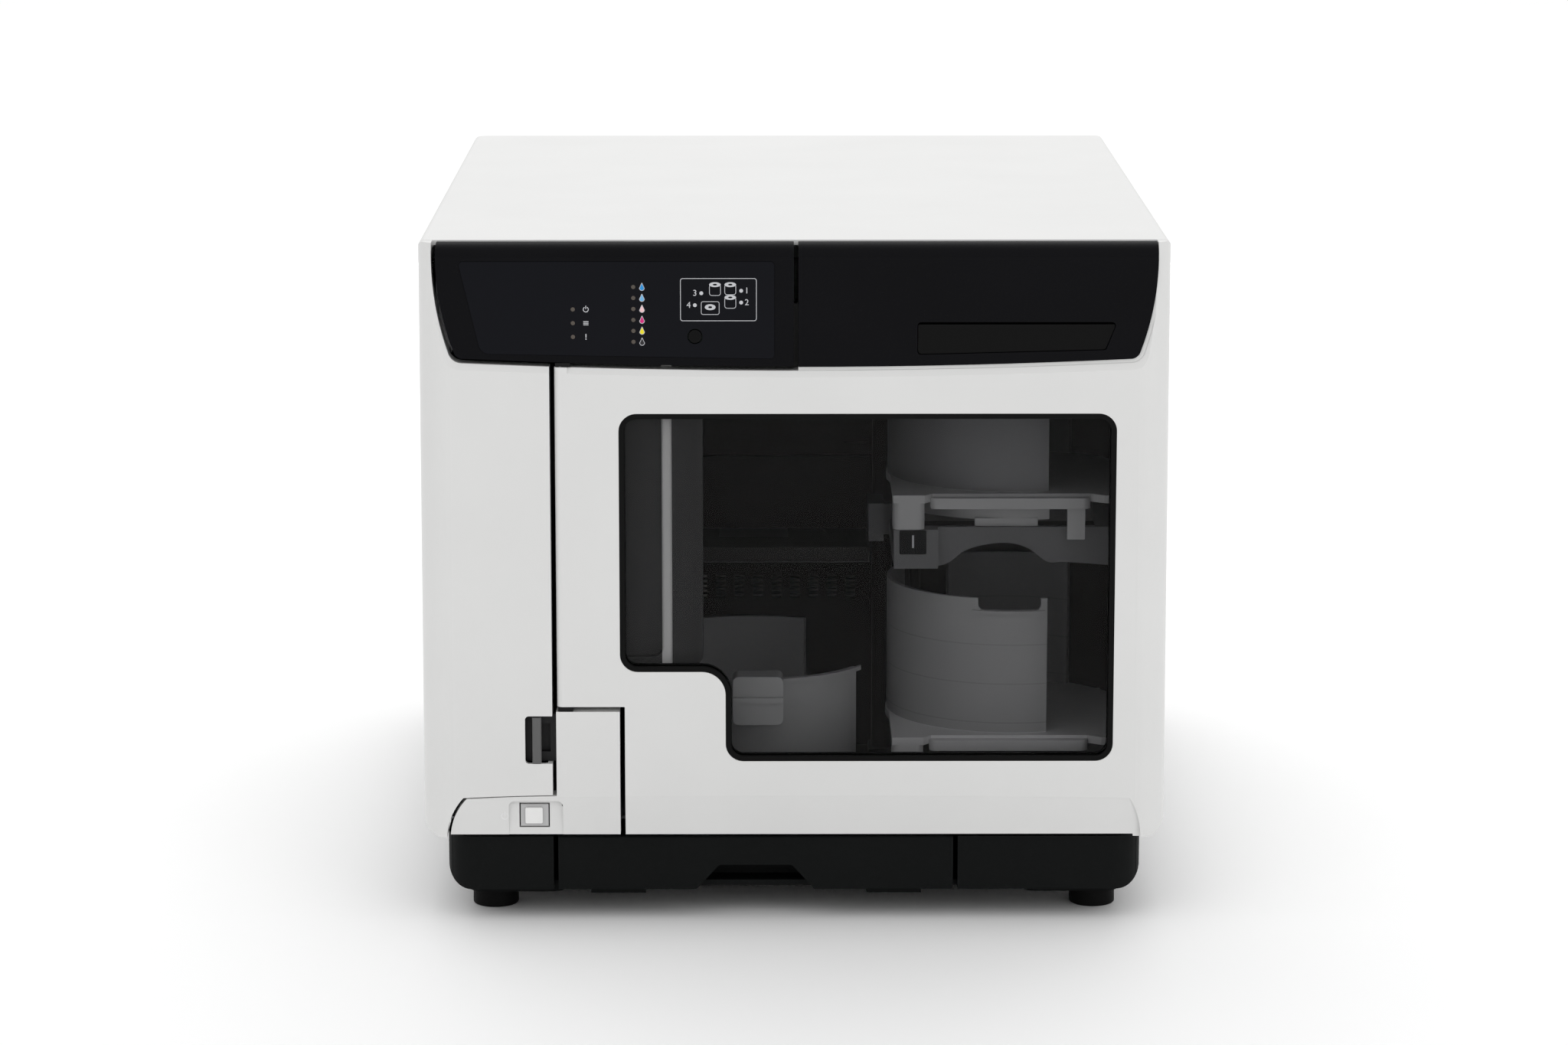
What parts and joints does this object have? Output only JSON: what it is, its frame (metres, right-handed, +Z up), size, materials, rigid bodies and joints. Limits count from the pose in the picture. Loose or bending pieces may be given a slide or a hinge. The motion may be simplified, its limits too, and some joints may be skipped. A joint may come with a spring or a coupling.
{
  "type": "disc label printer",
  "caption": "Box-shaped disc burning and label printing unit: hinged front door with a smoked stepped window, black control band, low drawer, and an arm that moves discs inside.",
  "frame": {"origin": "on the floor under the middle of the machine, at the bottom of its feet", "axes": "+Z up, +X to the right seen from the front, -Y towards the user; the depth is along Y"},
  "size_m": [0.377, 0.4935, 0.348],
  "materials": {
    "white_cover": "fine satin grain",
    "black_band": "spark-eroded grain",
    "black_gloss": "smooth",
    "overlay": "smooth sheet",
    "black_base": "fine grain",
    "rubber": "matt",
    "smoked_pane": "polished smoked acrylic",
    "dark_liner": "matt",
    "lever": "matt",
    "key": "satin",
    "lamp": "clear light pipe",
    "steel": "zinc plated",
    "bright_steel": "ground",
    "grey_frame": "fine grain",
    "upper_stacker": "fine grain",
    "pale_stacker": "fine grain",
    "tray_black": "fine grain",
    "board": "solder mask"
  },
  "bodies": {
    "cabinet": {"top_cover": "white_cover", "left_side_cover": "white_cover", "right_side_cover": "white_cover", "rear_cover": "steel", "power_inlet": "lever", "data_socket": "steel", "lower_front_panel": "white_cover", "lever_housing": "dark_liner", "control_panel": "black_band", "panel_overlay": "overlay", "panel_lamps": "lamp", "control_boards": "board", "base_tray": "black_base", "base_plinths": "black_base", "base_fascias": "black_base", "feet": "rubber", "chassis": "steel", "hinge_tabs": "steel", "front_frame": "grey_frame", "chamber_floor": "dark_liner", "chamber_walls": "dark_liner", "printer_front": "dark_liner", "printer_body": "steel", "carriage_rail": "bright_steel", "disc_drive_1": "steel", "disc_drive_2": "steel", "drive_cage": "steel", "stacker_1": "upper_stacker", "stacker_2": "pale_stacker", "stacker_3": "dark_liner", "stacker_holder_upper": "grey_frame", "stacker_holder_lower": "grey_frame", "arm_column": "bright_steel", "ink_bay": "dark_liner", "ink_cartridges": "tray_black", "main_board": "board", "power_supply": "steel", "fan_frame": "lever", "rear_screws": "bright_steel"},
    "disc_cover": {"door_frame": "white_cover", "door_band": "black_band", "door_grip": "black_gloss", "door_window": "smoked_pane", "window_gasket": "rubber", "door_liner": "dark_liner", "door_pins": "bright_steel"},
    "ink_door": {"ink_cover": "white_cover", "ink_cover_pins": "bright_steel"},
    "drawer": {"drawer_front": "black_base", "drawer_tray": "black_base"},
    "power_key": {"power_key": "key"},
    "panel_key": {"panel_key": "lever"},
    "lock_lever": {"lock_lever": "lever"},
    "drive_tray_1": {"drive_tray_1": "tray_black"},
    "drive_tray_2": {"drive_tray_2": "tray_black"},
    "printer_tray": {"printer_tray": "dark_liner"},
    "print_carriage": {"print_carriage": "tray_black"},
    "arm_carriage": {"arm_carriage": "grey_frame"},
    "arm": {"arm": "grey_frame"},
    "fan_rotor": {"fan_rotor": "lever"}
  },
  "joints": [
    {"name": "disc_cover_hinge", "type": "hinge", "parent": "cabinet", "child": "disc_cover", "pos_m": [-0.1169, -0.2435, 0.2], "axis": [0, 0, -1], "range_deg": [0, 110]},
    {"name": "ink_cover_hinge", "type": "hinge", "parent": "cabinet", "child": "ink_door", "pos_m": [-0.18544, -0.212, 0.2], "axis": [0, 0, -1], "range_deg": [0, 90]},
    {"name": "drawer_slide", "type": "slide", "parent": "cabinet", "child": "drawer", "axis": [0, -1, 0], "range_m": [0, 0.122]},
    {"name": "power_key_press", "type": "slide", "parent": "cabinet", "child": "power_key", "axis": [0, 1, 0], "range_m": [0, 0.0015], "stiffness_N_per_m": 400},
    {"name": "panel_key_press", "type": "slide", "parent": "cabinet", "child": "panel_key", "axis": [0, 1, 0], "range_m": [0, 0.0008], "stiffness_N_per_m": 400},
    {"name": "lock_lever_slide", "type": "slide", "parent": "cabinet", "child": "lock_lever", "axis": [1, 0, 0], "range_m": [0, 0.004]},
    {"name": "drive_tray_1_slide", "type": "slide", "parent": "cabinet", "child": "drive_tray_1", "axis": [0, -1, 0], "range_m": [0, 0.1397]},
    {"name": "drive_tray_2_slide", "type": "slide", "parent": "cabinet", "child": "drive_tray_2", "axis": [0, -1, 0], "range_m": [0, 0.1397]},
    {"name": "printer_tray_slide", "type": "slide", "parent": "cabinet", "child": "printer_tray", "axis": [0, -1, 0], "range_m": [0, 0.1397]},
    {"name": "print_carriage_slide", "type": "slide", "parent": "cabinet", "child": "print_carriage", "axis": [1, 0, 0], "range_m": [-0.04, 0.04]},
    {"name": "arm_lift", "type": "slide", "parent": "cabinet", "child": "arm_carriage", "axis": [0, 0, 1], "range_m": [-0.06, 0]},
    {"name": "arm_swing", "type": "hinge", "parent": "arm_carriage", "child": "arm", "pos_m": [0.048, -0.084, 0.3], "axis": [0, 0, -1], "range_deg": [0, 92]},
    {"name": "fan_spin", "type": "hinge", "parent": "cabinet", "child": "fan_rotor", "pos_m": [0.1, 0.235, 0.24], "axis": [0, 1, 0], "continuous": true}
  ]
}
